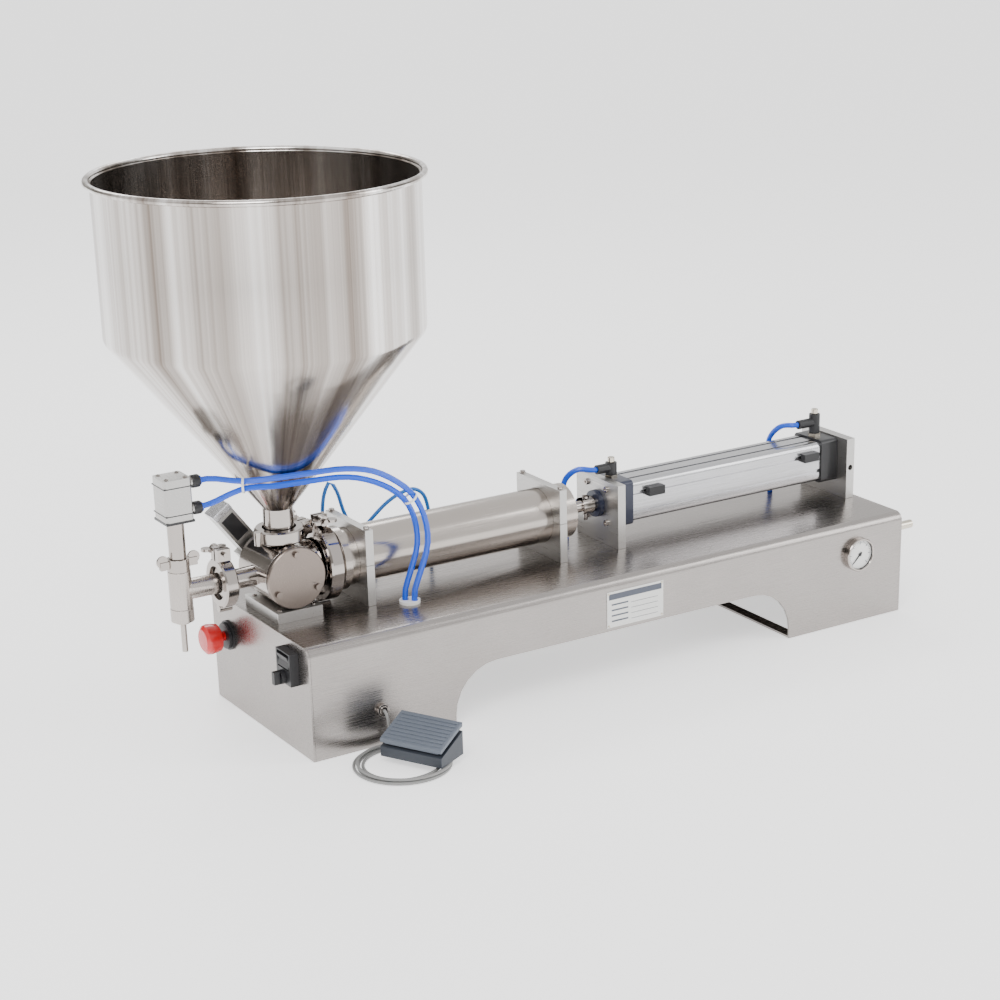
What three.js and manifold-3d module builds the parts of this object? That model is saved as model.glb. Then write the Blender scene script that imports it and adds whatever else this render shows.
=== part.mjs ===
// Pneumatic piston liquid filler on a bench cabinet. Millimetres, +Z up, standing on z = 0.
// X runs from the nozzle end to the air cylinder, Y from the pedal side to the far side.
import * as THREE from "three";
import { mergeVertices, toCreasedNormals } from "three/addons/utils/BufferGeometryUtils.js";
import Module from "manifold-3d";

const wasm = await Module();
wasm.setup();

// Cabinet
const CABINET_LENGTH = 930;
const CABINET_WIDTH = 269;
const CABINET_HEIGHT = 145;
const SHEET = 3;
const TOP_BEND = 12;
const FOOT_LENGTH = 201;
const FAR_FOOT_LENGTH = 198;
const FOOT_FLANGE = 20;
const ARCH_HEIGHT = 75;
const ARCH_RADIUS = 62;
// Places of what is fitted to the cabinet
const STOP = [224, 97];
const SWITCH_KNOB = [45, 101];
const GAUGE = [850, 100];
const INLET = [18, 118];
const CABLE_EXIT = [96, 47];
const GROMMET = [184, 78];
const FRONT_TUBE_HOLE = [484, 178];
const REAR_TUBE_HOLE = [842, 188];
const ACTUATOR_TUBE_HOLE = [205, 205];
// Pumping line: one axis through valve, product cylinder and air cylinder
const LINE_Y = 147;
const LINE_Z = 198;
const VALVE_X = 43;
const VALVE_RADIUS = 39.4;
const VALVE_FRONT = 111;
const VALVE_BACK = 188;
const PIPE_RADIUS = 12.7;
const FERRULE_RADIUS = 25.25;
const BIG_FERRULE_RADIUS = 45.5;
const OUTLET_JOINT_X = -37;
const CYLINDER_JOINT_X = 98;
const HOPPER_JOINT_Z = 246;
const PRODUCT_RADIUS = 36.9;
const PRODUCT_BORE = 35;
const PRODUCT_END_X = 460;
const PISTON_X = 421;
// Hopper
const NECK_RADIUS = 19;
const CONE_BOTTOM_Z = 280;
const CONE_TOP_Z = 501;
const HOPPER_RADIUS = 192;
const RIM_Z = 684;
const RIM_BEAD = 4;
const HOPPER_WALL = 2;
// Nozzle
const NOZZLE_X = -93;
const BODY_RADIUS = 14;
const STEM_RADIUS = 5;
const NOZZLE_PORT_Y = 135.5;
const NOZZLE_PORTS_Z = [335, 302];
// Air cylinder
const BARREL_HALF = 28.5;
const HEAD_HALF = 31;
const BARREL_BORE = 25;
const ROD_RADIUS = 10;
const BARREL_FROM = 553;
const BARREL_TO = 877;
const AIR_TUBE_RADIUS = 4;
const FRONT_PORT_X = 538;
const REAR_PORT_X = 888;
// Foot pedal and its cable
const PEDAL_FRONT = [87.5, -84];
const PEDAL_YAW = -62;
const PEDAL_WIDTH = 87;
const PEDAL_DEPTH = 50;
const PEDAL_BOTTOM = 8.5;
const PEDAL_HEIGHT = 23.5;
const PEDAL_SLOPE = 20;
const COIL_CENTRE = [85, -70];
const COIL_OUTER = 64;
const COIL_INNER = 46;
const CABLE_RADIUS = 2;
const GAP = 0.3;

const STEEL = { color: 0xc9c6c1, roughness: 0.25, metalness: 0.9 };
const SATIN = { color: 0xd6d5d1, roughness: 0.45, metalness: 0.8 };
const NAVY = { color: 0x1b2233, roughness: 0.5, metalness: 0.2 };
const BLACK = { color: 0x1a1a1c, roughness: 0.5, metalness: 0.1 };
const WHITE = { color: 0xf0efec, roughness: 0.5, metalness: 0 };
const BLUE = { color: 0x1a55c8, roughness: 0.35, metalness: 0 };
const RED = { color: 0xd11414, roughness: 0.35, metalness: 0 };
const SLATE = { color: 0x3a4654, roughness: 0.6, metalness: 0 };
const GREY = { color: 0xb8b8b6, roughness: 0.6, metalness: 0 };

function solid(geometry) {
  const plain = geometry.clone();
  plain.deleteAttribute("normal");
  plain.deleteAttribute("uv");
  const merged = mergeVertices(plain, 1e-4);
  return new wasm.Manifold(
    new wasm.Mesh({
      numProp: 3,
      vertProperties: merged.attributes.position.array,
      triVerts: new Uint32Array(merged.index.array),
    }),
  );
}

function geometryOf(manifold) {
  const mesh = manifold.getMesh();
  const geometry = new THREE.BufferGeometry();
  geometry.setAttribute("position", new THREE.BufferAttribute(mesh.vertProperties, 3));
  geometry.setIndex(new THREE.BufferAttribute(mesh.triVerts, 1));
  return toCreasedNormals(geometry, 0.6);
}

const add = (...solids) => solids.reduce((all, one) => all.add(one));
const cut = (base, ...solids) => solids.reduce((all, one) => all.subtract(one), base);

function box(x0, x1, y0, y1, z0, z1) {
  const geometry = new THREE.BoxGeometry(x1 - x0, y1 - y0, z1 - z0);
  return solid(geometry.translate((x0 + x1) / 2, (y0 + y1) / 2, (z0 + z1) / 2));
}

function segmentsFor(radius) {
  return radius > 100 ? 60 : radius > 24 ? 32 : radius > 9 ? 20 : radius > 4.5 ? 12 : 8;
}

// A round solid turned about an axis: profile points are [radius, distance along the axis].
function turned(axis, points, a, b) {
  const largest = Math.max(...points.map((point) => point[0]));
  const outline = points.map((point) => new THREE.Vector2(point[0], point[1]));
  const geometry = new THREE.LatheGeometry(outline, segmentsFor(largest));
  if (axis === "x") geometry.rotateZ(-Math.PI / 2).translate(0, a, b);
  if (axis === "y") geometry.translate(a, 0, b);
  if (axis === "z") geometry.rotateX(Math.PI / 2).translate(a, b, 0);
  return solid(geometry);
}

function rod(axis, radius, from, to, a, b) {
  return turned(axis, [[0, from], [radius, from], [radius, to], [0, to]], a, b);
}

function ring(axis, outer, inner, from, to, a, b) {
  return turned(axis, [[inner, from], [outer, from], [outer, to], [inner, to], [inner, from]], a, b);
}

// A tube along a smooth route through the given points.
function tube(points, radius, sides, steps) {
  const route = new THREE.CatmullRomCurve3(points.map((point) => new THREE.Vector3(...point)));
  const circle = new THREE.Shape().absarc(0, 0, radius, 0, 2 * Math.PI);
  const options = { steps, extrudePath: route, curveSegments: sides / 2 };
  return solid(new THREE.ExtrudeGeometry(circle, options));
}

// A flat outline [a, b] pushed along an axis from one value to the other.
function plate(axis, outline, from, to) {
  const options = { depth: to - from, bevelEnabled: false, curveSegments: 3 };
  const isShape = outline instanceof THREE.Shape;
  const shape = isShape ? outline : new THREE.Shape(outline.map((point) => new THREE.Vector2(...point)));
  const geometry = new THREE.ExtrudeGeometry(shape, options).translate(0, 0, axis === "y" ? -to : from);
  if (axis !== "z") geometry.rotateX(Math.PI / 2);
  if (axis === "x") geometry.rotateZ(Math.PI / 2);
  return solid(geometry);
}

function roundedSquare(half, radius, a, b) {
  const shape = new THREE.Shape();
  const arcs = [[1, 1, 0], [-1, 1, 90], [-1, -1, 180], [1, -1, 270]];
  for (const [sa, sb, start] of arcs) {
    const from = (start * Math.PI) / 180;
    shape.absarc(a + sa * (half - radius), b + sb * (half - radius), radius, from, from + Math.PI / 2);
  }
  return shape;
}

const filler = new THREE.Group();
filler.name = "piston_liquid_filler";
const cordNodes = new Set(["cord", "cord_coil"]);

function node(name, manifold, material) {
  const mesh = new THREE.Mesh(geometryOf(manifold), new THREE.MeshStandardMaterial(material));
  mesh.name = name;
  filler.add(mesh);
}

// Cabinet: a folded sheet with an arch through both long sides and inward foot flanges, and two end
// panels welded into its open ends.
function cabinetOutline(inset, bottom) {
  const w = CABINET_WIDTH;
  const h = CABINET_HEIGHT;
  const bend = TOP_BEND - inset;
  const shape = new THREE.Shape();
  shape.moveTo(inset, bottom);
  shape.lineTo(w - inset, bottom);
  shape.absarc(w - TOP_BEND, h - TOP_BEND, bend, 0, Math.PI / 2);
  shape.absarc(TOP_BEND, h - TOP_BEND, bend, Math.PI / 2, Math.PI);
  return shape;
}

function cabinetShell() {
  const w = CABINET_WIDTH;
  const h = CABINET_HEIGHT;
  const flange = FOOT_FLANGE;
  const panel = SHEET + 0.1;
  const arch = new THREE.Shape();
  const left = FOOT_LENGTH;
  const right = CABINET_LENGTH - FAR_FOOT_LENGTH;
  arch.moveTo(left, -5);
  arch.lineTo(right, -5);
  arch.absarc(right - ARCH_RADIUS, ARCH_HEIGHT - ARCH_RADIUS, ARCH_RADIUS, 0, Math.PI / 2);
  arch.absarc(left + ARCH_RADIUS, ARCH_HEIGHT - ARCH_RADIUS, ARCH_RADIUS, Math.PI / 2, Math.PI);
  return cut(
    plate("x", cabinetOutline(0, 0), panel, CABINET_LENGTH - panel),
    plate("x", cabinetOutline(SHEET, SHEET), 0, CABINET_LENGTH),
    box(0, FOOT_LENGTH - flange, flange, w - flange, -1, SHEET + 1),
    box(CABINET_LENGTH - FOOT_LENGTH + flange, CABINET_LENGTH, flange, w - flange, -1, SHEET + 1),
    plate("y", arch, -5, w + 5),
    rod("y", 5.5, -1, SHEET + 1, ...CABLE_EXIT),
    rod("y", 18.3, -1, SHEET + 1, ...GAUGE),
    rod("z", 11.6, h - 4, h + 1, ...GROMMET),
    rod("z", 4.3, h - 4, h + 1, ...FRONT_TUBE_HOLE),
    rod("z", 4.3, h - 4, h + 1, ...REAR_TUBE_HOLE),
    rod("z", 4.3, h - 4, h + 1, ...ACTUATOR_TUBE_HOLE),
  );
}

// An end panel whose outer face is at x, with its own foot flange turned inward.
function endPanel(x, inward, holeRadius, hole) {
  const inner = x + inward * SHEET;
  const tip = x + inward * FOOT_FLANGE;
  const side = FOOT_FLANGE + 0.1;
  return cut(
    add(
      plate("x", cabinetOutline(0, 0), Math.min(x, inner), Math.max(x, inner)),
      box(Math.min(x, tip), Math.max(x, tip), side, CABINET_WIDTH - side, 0, SHEET),
    ),
    rod("x", holeRadius, Math.min(x, inner) - 1, Math.max(x, inner) + 1, ...hole),
  );
}
node("cabinet_shell", cabinetShell(), STEEL);
node("cabinet_end_near", endPanel(0, 1, 11, STOP), STEEL);
node("cabinet_end_far", endPanel(CABINET_LENGTH, -1, 6.5, INLET), STEEL);

// Three-way valve with a turning half-moon spool
const valvePorts = [
  rod("z", 17.5, LINE_Z, HOPPER_JOINT_Z + 1, VALVE_X, LINE_Y),
  rod("x", 11, OUTLET_JOINT_X - 1, VALVE_X, LINE_Y, LINE_Z),
  rod("x", 17.5, VALVE_X, CYLINDER_JOINT_X + 1, LINE_Y, LINE_Z),
];
const valveBody = cut(
  add(
    rod("y", VALVE_RADIUS, VALVE_FRONT, VALVE_BACK, VALVE_X, LINE_Z),
    turned("z", [[0, 200], [NECK_RADIUS, 200], [NECK_RADIUS, 240], [FERRULE_RADIUS, 243.2],
      [FERRULE_RADIUS, HOPPER_JOINT_Z], [0, HOPPER_JOINT_Z]], VALVE_X, LINE_Y),
    turned("x", [[0, OUTLET_JOINT_X], [FERRULE_RADIUS, OUTLET_JOINT_X], [FERRULE_RADIUS, -34.2],
      [PIPE_RADIUS, -31], [PIPE_RADIUS, 20], [0, 20]], LINE_Y, LINE_Z),
    turned("x", [[0, 60], [32, 60], [32, 90], [BIG_FERRULE_RADIUS, 94],
      [BIG_FERRULE_RADIUS, CYLINDER_JOINT_X], [0, CYLINDER_JOINT_X]], LINE_Y, LINE_Z),
  ),
  rod("y", 30, VALVE_FRONT - 1, VALVE_BACK - 6, VALVE_X, LINE_Z),
  rod("y", 6.6, VALVE_BACK - 8, VALVE_BACK + 1, VALVE_X, LINE_Z),
  ...valvePorts,
);
node("valve_body", valveBody, STEEL);
node("valve_saddle", box(12, 74, 101, 193, CABINET_HEIGHT, LINE_Z - VALVE_RADIUS - 0.1), SATIN);

const coverScrews = [90, -30, -150].map((degrees) => {
  const angle = (degrees * Math.PI) / 180;
  return rod("y", 4.2, 100, 105, VALVE_X + 31 * Math.cos(angle), LINE_Z + 31 * Math.sin(angle));
});
const cover = turned("y", [[0, 104], [38.2, 104], [39.4, 105.2], [39.4, 109], [36.5, 109],
  [36.5, VALVE_FRONT - 0.1], [0, VALVE_FRONT - 0.1]], VALVE_X, LINE_Z);
node("valve_cover", add(cover, ...coverScrews), STEEL);

// Rack and pinion: the rack runs along the actuator barrel, which leans back over the valve axis.
const ACTUATOR_TILT = 53.4;
const PINION_Y = 207;
const PINION_PITCH = 7;
const TEETH = 12;
const toActuator = (manifold) =>
  manifold.rotate([0, ACTUATOR_TILT, 0]).translate([VALVE_X, PINION_Y, LINE_Z]);
const inBore = rod("y", 29.75, VALVE_FRONT + 0.3, VALVE_BACK - 6.3, VALVE_X, LINE_Z);
const outletPocket = box(VALVE_X - 18, VALVE_X + 40, 118, 176, LINE_Z - 40, LINE_Z + 40);
const toothPitch = (2 * Math.PI) / TEETH;
const pinionOutline = new THREE.Shape();
for (let i = 0; i < TEETH; i += 1) {
  const middle = -Math.PI / 2 + i * toothPitch;
  for (const [radius, half] of [[5.5, -0.36], [7.9, -0.13], [7.9, 0.13], [5.5, 0.36]]) {
    const angle = middle + half * toothPitch;
    const move = i === 0 && half === -0.36 ? "moveTo" : "lineTo";
    pinionOutline[move](radius * Math.cos(angle), radius * Math.sin(angle));
  }
}
const spool = add(
  cut(inBore, outletPocket),
  rod("y", 6.2, VALVE_BACK - 10, PINION_Y + 5, VALVE_X, LINE_Z),
  toActuator(plate("y", pinionOutline, -5, 5)),
);
node("valve_spool", spool, STEEL);

const rackOutline = [[-60, -9.5], [28, -9.5], [28, 9.5], [20, 9.5], [20, -8.2]];
const rackPitch = PINION_PITCH * toothPitch;
for (let i = 4; i >= -2; i -= 1) {
  const x = (i - 0.5) * rackPitch;
  rackOutline.push([x + 1.2, -8.2], [x + 0.4, -6.2], [x - 0.4, -6.2], [x - 1.2, -8.2]);
}
rackOutline.push([-52, -8.2], [-52, 9.5], [-60, 9.5]);
const rack = plate("y", rackOutline, -8, 8);
node("actuator_rack", toActuator(rack), STEEL);
const housing = cut(
  add(box(-89, 45, -13, 13, -13, 13), box(-26, 26, -13, 13, -18.4, 18.4)),
  box(-82, 38, -8.3, 8.3, -10, 10),
  rod("y", 9, -9, 9, 0, 0),
  rod("y", 7, -19, 1, 0, 0),
);
node("actuator_housing", toActuator(housing), SATIN);

// Hopper: a ferruled neck welded under a spun cone, cylinder and rolled rim
const wall = HOPPER_WALL;
const hopperNeck = turned("z", [
  [NECK_RADIUS - wall, HOPPER_JOINT_Z], [FERRULE_RADIUS, HOPPER_JOINT_Z],
  [FERRULE_RADIUS, HOPPER_JOINT_Z + 2.8], [NECK_RADIUS, HOPPER_JOINT_Z + 6],
  [NECK_RADIUS, CONE_BOTTOM_Z - 0.1], [NECK_RADIUS - wall, CONE_BOTTOM_Z - 0.1],
  [NECK_RADIUS - wall, HOPPER_JOINT_Z],
], VALVE_X, LINE_Y);
node("hopper_neck", hopperNeck, STEEL);
const hopper = turned("z", [
  [NECK_RADIUS - wall, CONE_BOTTOM_Z], [NECK_RADIUS, CONE_BOTTOM_Z],
  [HOPPER_RADIUS, CONE_TOP_Z], [HOPPER_RADIUS, RIM_Z - RIM_BEAD],
  [HOPPER_RADIUS + 2 * RIM_BEAD, RIM_Z - RIM_BEAD], [HOPPER_RADIUS + 2 * RIM_BEAD, RIM_Z],
  [HOPPER_RADIUS + RIM_BEAD, RIM_Z + RIM_BEAD], [HOPPER_RADIUS - wall, RIM_Z + RIM_BEAD / 2],
  [HOPPER_RADIUS - wall, CONE_TOP_Z + 1], [NECK_RADIUS - wall, CONE_BOTTOM_Z],
], VALVE_X, LINE_Y);
node("hopper", hopper, STEEL);

// Sanitary clamp about the Z axis at the origin: a grooved ring, a hinge lug, and a bolt between two ears.
function clampRing(ferrule, outer, width, lug, ear) {
  const half = width / 2;
  const band = turned("z", [
    [ferrule - 4, -half], [outer - 2, -half], [outer, -half + 2], [outer, half - 2], [outer - 2, half],
    [ferrule - 4, half], [ferrule - 4, half - 1], [ferrule + 0.4, 3.8], [ferrule + 0.4, -3.8],
    [ferrule - 4, -half + 1], [ferrule - 4, -half],
  ], 0, 0);
  const ears = box(outer - 2.5, outer + 13, -ear, ear, -half, half);
  const split = box(outer - 2.6, outer + 14, -1.5, 1.5, -half - 1, half + 1);
  const hingeLug = rod("z", lug, -half, half, -outer - lug + 3, 0);
  const bolt = rod("y", 3, -ear - 5, ear + 15, outer + 7, 0);
  return add(cut(add(band, ears), split), hingeLug, bolt);
}

// A wing nut on the clamp bolt, its axis along Y: a hub with two flat wings.
function wingNut(outer, ear) {
  const x = outer + 7;
  const seat = ear + 0.4;
  const wings = add(
    rod("x", 6.5, x - 1.8, x + 1.8, seat + 10, 10),
    rod("x", 6.5, x - 1.8, x + 1.8, seat + 10, -10),
    box(x - 1.8, x + 1.8, seat, seat + 9, -10, 10),
  );
  return cut(add(rod("y", 6.5, seat, seat + 10, x, 0), wings), rod("y", 3.4, seat - 1, seat + 30, x, 0));
}

const clamps = [
  { name: "hopper_clamp", ferrule: FERRULE_RADIUS, outer: 31, width: 17, lug: 5, ear: 10, turn: [0, 0, 12],
    at: [VALVE_X, LINE_Y, HOPPER_JOINT_Z] },
  { name: "outlet_clamp", ferrule: FERRULE_RADIUS, outer: 31, width: 17, lug: 5, ear: 10, turn: [0, -90, 0],
    at: [OUTLET_JOINT_X, LINE_Y, LINE_Z] },
  { name: "cylinder_clamp", ferrule: BIG_FERRULE_RADIUS, outer: 49, width: 18, lug: 3.4, ear: 5,
    turn: [180, -90, 0], at: [CYLINDER_JOINT_X, LINE_Y, LINE_Z] },
];
for (const { name, ferrule, outer, width, lug, ear, turn, at } of clamps) {
  node(name, clampRing(ferrule, outer, width, lug, ear).rotate(turn).translate(at), STEEL);
  node(`${name}_nut`, wingNut(outer, ear).rotate(turn).translate(at), STEEL);
}

// Shut-off nozzle: its body has the outlet tube welded into its side
const onNozzle = (axis, radius, from, to) => rod(axis, radius, from, to, NOZZLE_X, LINE_Y);
const nozzleBody = cut(
  add(
    onNozzle("z", BODY_RADIUS, 176.6, 224),
    turned("x", [[0, -90], [PIPE_RADIUS, -90], [PIPE_RADIUS, OUTLET_JOINT_X - 6],
      [FERRULE_RADIUS, OUTLET_JOINT_X - 2.8], [FERRULE_RADIUS, OUTLET_JOINT_X - 0.1],
      [0, OUTLET_JOINT_X - 0.1]], LINE_Y, LINE_Z),
  ),
  onNozzle("z", 11, 170, 221),
  onNozzle("z", STEM_RADIUS + 0.4, 219, 225),
  rod("x", 11, NOZZLE_X, OUTLET_JOINT_X + 1, LINE_Y, LINE_Z),
);
node("nozzle_body", nozzleBody, STEEL);
const nozzleTip = turned("z", [[2.8, 119.5], [3.65, 119.5], [3.65, 155], [9, 157], [9, 160],
  [14.3, 160], [14.3, 176.5], [11.2, 176.5], [2.8, 166], [2.8, 119.5]], NOZZLE_X, LINE_Y);
node("nozzle_tip", nozzleTip, STEEL);
const nozzleWing = (side) => add(
  box(NOZZLE_X + (side < 0 ? -24 : 12), NOZZLE_X + (side < 0 ? -12 : 24), LINE_Y - 3, LINE_Y + 3, 228, 238),
  rod("y", 8, LINE_Y - 1.5, LINE_Y + 1.5, NOZZLE_X + side * 20, 238),
);
const nozzleClamp = cut(
  add(onNozzle("z", 13.6, 224.1, 240), nozzleWing(-1), nozzleWing(1)),
  onNozzle("z", STEM_RADIUS + 0.4, 223, 241),
);
node("nozzle_clamp", nozzleClamp, STEEL);
const bonnet = cut(onNozzle("z", 10.5, 240.1, 286.9), onNozzle("z", STEM_RADIUS + 0.4, 239, 288));
node("nozzle_bonnet", bonnet, STEEL);
const nozzlePort = (radius, from, to) =>
  NOZZLE_PORTS_Z.map((z) => rod("x", radius, NOZZLE_X + from, NOZZLE_X + to, NOZZLE_PORT_Y, z));
const nozzleCylinder = cut(
  add(plate("z", roundedSquare(18, 4, NOZZLE_X, LINE_Y), 287, 342), ...nozzlePort(6.5, 17, 30)),
  onNozzle("z", 14, 295, 334),
  onNozzle("z", STEM_RADIUS + 0.4, 286, 296),
  ...nozzlePort(AIR_TUBE_RADIUS + GAP, 24, 31),
);
node("nozzle_cylinder", nozzleCylinder, SATIN);
const nozzleStem = turned("z", [[0, 170], [2.2, 170], [8, 178], [8, 182], [STEM_RADIUS, 186],
  [STEM_RADIUS, 296], [13.9, 296], [13.9, 308], [0, 308]], NOZZLE_X, LINE_Y);
node("nozzle_stem", nozzleStem, STEEL);

// Product cylinder and the two pairs of plates that hold it
const productCylinder = cut(
  add(
    turned("x", [[0, CYLINDER_JOINT_X + 0.1], [BIG_FERRULE_RADIUS, CYLINDER_JOINT_X + 0.1],
      [BIG_FERRULE_RADIUS, 102], [PRODUCT_RADIUS, 106], [PRODUCT_RADIUS, PRODUCT_END_X],
      [0, PRODUCT_END_X]], LINE_Y, LINE_Z),
    rod("x", 41, 112, 122, LINE_Y, LINE_Z),
  ),
  rod("x", PRODUCT_BORE, CYLINDER_JOINT_X - 1, PRODUCT_END_X + 1, LINE_Y, LINE_Z),
);
node("product_cylinder", productCylinder, STEEL);
function supportHalf(x, low, high) {
  const round = rod("x", PRODUCT_RADIUS + 0.1, x - 1, x + 12, LINE_Y, LINE_Z);
  return cut(box(x, x + 11, 94, 200, low, high), round);
}
for (const [name, x] of [["front", 134], ["rear", 421]]) {
  node(`${name}_support_base`, supportHalf(x, CABINET_HEIGHT, LINE_Z - 0.1), SATIN);
  const screws = [101, 193].map((y) => rod("z", 3.5, 244, 247.5, x + 5.5, y));
  node(`${name}_support_cap`, add(supportHalf(x, LINE_Z + 0.1, 244.5), ...screws), SATIN);
}

// Moving line: product piston and rod, pinned coupling, air rod and air piston
const onLine = (radius, from, to) => rod("x", radius, from, to, LINE_Y, LINE_Z);
const productPiston = add(
  onLine(34.9, PISTON_X, PISTON_X + 4),
  onLine(33, PISTON_X + 3, PISTON_X + 17),
  onLine(34.9, PISTON_X + 16, PISTON_X + 21),
);
node("product_piston", productPiston, WHITE);
const pistonRod = add(
  onLine(8, PISTON_X + 21.1, 488),
  cut(onLine(12, 487, 503.9), box(480, 495.5, 140, 154, 180, 216)),
  rod("z", 3, 178, 207, 496, LINE_Y),
  rod("z", 5, 206, 211, 496, LINE_Y),
);
node("piston_rod", pistonRod, STEEL);
const airPiston = add(onLine(ROD_RADIUS, 504, 848), onLine(24.9, 846, 868));
node("air_piston", airPiston, STEEL);

// Air cylinder between its two head plates
const headPlate = (x, thick, yHigh, zHigh) => cut(
  box(x, x + thick, LINE_Y - 50, yHigh, CABINET_HEIGHT, zHigh),
  onLine(18.3, x - 1, x + thick + 1),
);
node("head_plate_front", headPlate(515, 12, 197, 233), SATIN);
const rearPlate = cut(box(907, 921, 96, 198, CABINET_HEIGHT, 232), rod("y", 4, 90, 110, 914, 190));
node("head_plate_rear", rearPlate, SATIN);
const square = (half, radius, from, to) =>
  plate("x", roundedSquare(half, radius, LINE_Y, LINE_Z + 1), from, to);
const slots = [-12, 12].flatMap((offset) => [
  box(BARREL_FROM - 1, BARREL_TO + 1, LINE_Y + offset - 2.5, LINE_Y + offset + 2.5, 224.5, 230),
  box(BARREL_FROM - 1, BARREL_TO + 1, 115, 121, LINE_Z + 1 + offset - 2.5, LINE_Z + 1 + offset + 2.5),
]);
const airBarrel = cut(square(BARREL_HALF, 8, BARREL_FROM, BARREL_TO),
  onLine(BARREL_BORE, BARREL_FROM - 1, BARREL_TO + 1), ...slots);
node("air_barrel", airBarrel, WHITE);
const portHole = (x) => rod("z", 4, 215, 232, x, LINE_Y);
// The front head's round nose reaches through its plate and guides the rod.
const frontHead = cut(
  add(square(HEAD_HALF, 6, 527.1, BARREL_FROM - 0.1), onLine(18.2, 508, 530)),
  onLine(ROD_RADIUS + 0.1, 500, 560),
  portHole(FRONT_PORT_X),
);
node("air_head_front", frontHead, NAVY);
const rearHead = cut(
  square(HEAD_HALF, 6, BARREL_TO + 0.1, 906.9),
  onLine(20, 870, 900),
  portHole(REAR_PORT_X),
);
node("air_head_rear", rearHead, BLACK);
const speedControl = (x, top, elbowZ, reach) => cut(
  add(
    rod("z", 8, LINE_Z + HEAD_HALF + 1.1, top - 7, x, LINE_Y),
    rod("z", 4.5, top - 8, top, x, LINE_Y),
    rod("x", 6.5, x - reach, x, LINE_Y, elbowZ),
  ),
  rod("x", AIR_TUBE_RADIUS + GAP, x - reach - 1, x - reach + 8, LINE_Y, elbowZ),
);
node("speed_control_front", speedControl(FRONT_PORT_X, 258, 244, 24), BLACK);
node("speed_control_rear", speedControl(REAR_PORT_X, 269, 250, 30), BLACK);
for (const [name, x] of [["front", 575], ["rear", 842]]) {
  const switchBody = add(
    box(x, x + 26, 109.5, 118.2, LINE_Z + 7, LINE_Z + 19),
    box(x + 4, x + 22, 118, 120.3, LINE_Z + 11.5, LINE_Z + 14.5),
  );
  node(`reed_switch_${name}`, switchBody, BLACK);
}

// Air tubes held along their whole route
const airTubes = {
  nozzle_tube_upper: [[-66, 135.5, 335], [-50, 134, 335], [-22, 100, 335], [10, 84, 337], [48, 75, 338],
    [97, 69, 337], [135, 67, 328], [167, 66, 309], [188, 66, 289], [203, 67, 259], [208, 69, 222],
    [198, 72, 186], [188.5, 73, 160], [188.5, 73, 138]],
  nozzle_tube_lower: [[-66, 135.5, 302], [-52, 134, 304], [-22, 100, 325.5], [10, 82, 328], [48, 73, 329],
    [97, 68, 327], [130, 67, 317], [160, 66, 300], [179, 67, 281], [193, 73, 254], [198, 78, 220],
    [189, 81, 186], [180, 82, 160], [180, 82, 138]],
  cylinder_tube_front: [[514.5, 147, 244], [506, 148, 245], [490, 157, 246], [478, 168, 232],
    [477, 174, 200], [481, 177, 170], [484, 178, 150], [484, 178, 138]],
  cylinder_tube_rear: [[858.5, 147, 250], [852, 149, 250], [842, 164, 247], [838, 186, 225],
    [838, 188, 190], [842, 188, 158], [842, 188, 138]],
  actuator_tube: [[137, 214, 196], [137, 214, 240], [141, 214, 262], [149, 213, 276], [158, 212, 262],
    [165, 210, 235], [180, 207, 200], [200, 205, 165], [205, 205, 150], [205, 205, 138]],
};
for (const [name, route] of Object.entries(airTubes)) {
  const thin = name === "actuator_tube";
  node(name, tube(route, thin ? 2.5 : AIR_TUBE_RADIUS - 0.2, 8, thin ? 26 : 36), BLUE);
}
const grommet = cut(
  add(
    rod("z", 13.5, CABINET_HEIGHT + 0.1, CABINET_HEIGHT + 4, ...GROMMET),
    rod("z", 11.3, 140, 146, ...GROMMET),
  ),
  rod("z", 4.6, 130, 160, 188.5, 73),
  rod("z", 4.6, 130, 160, 180, 82),
);
node("tube_grommet", grommet, WHITE);

// Controls on the nozzle end
const stopBase = cut(
  add(rod("x", 17, -7, -0.1, ...STOP), rod("x", 10.8, -1, 30, ...STOP)),
  rod("x", 6.3, -8, 31, ...STOP),
);
node("e_stop_base", stopBase, BLACK);
const stopButton = add(
  turned("x", [[0, -37], [14, -36.5], [19, -33], [20, -28], [18, -16], [13, -13.5], [0, -13.5]], ...STOP),
  rod("x", 6.2, -14, 20, ...STOP),
);
node("e_stop_button", stopButton, RED);
const switchBlock = cut(
  box(-12, -0.1, 26, 63, 92, 134),
  box(-13, -2.4, 30, 59, 111.5, 132),
  rod("x", 5.3, -13, -4, ...SWITCH_KNOB),
);
node("switch_block", switchBlock, BLACK);
const rockerSide = [[-3.2, 113.5], [-12.5, 113.5], [-10.8, 121.5], [-14.2, 129.5], [-3.2, 129.5]];
const rocker = cut(
  plate("y", rockerSide, 30.4, 58.6),
  box(-6, 0, 29, 60, 113, 119),
  box(-6, 0, 29, 60, 124, 130),
);
node("switch_rocker", rocker, BLACK);
const knob = add(
  rod("x", 5, -14, -4.3, ...SWITCH_KNOB),
  rod("x", 9, -18, -12.3, ...SWITCH_KNOB),
  box(-26, -17, 41.5, 48.5, 93, 109),
);
node("selector_knob", knob, BLACK);

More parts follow.
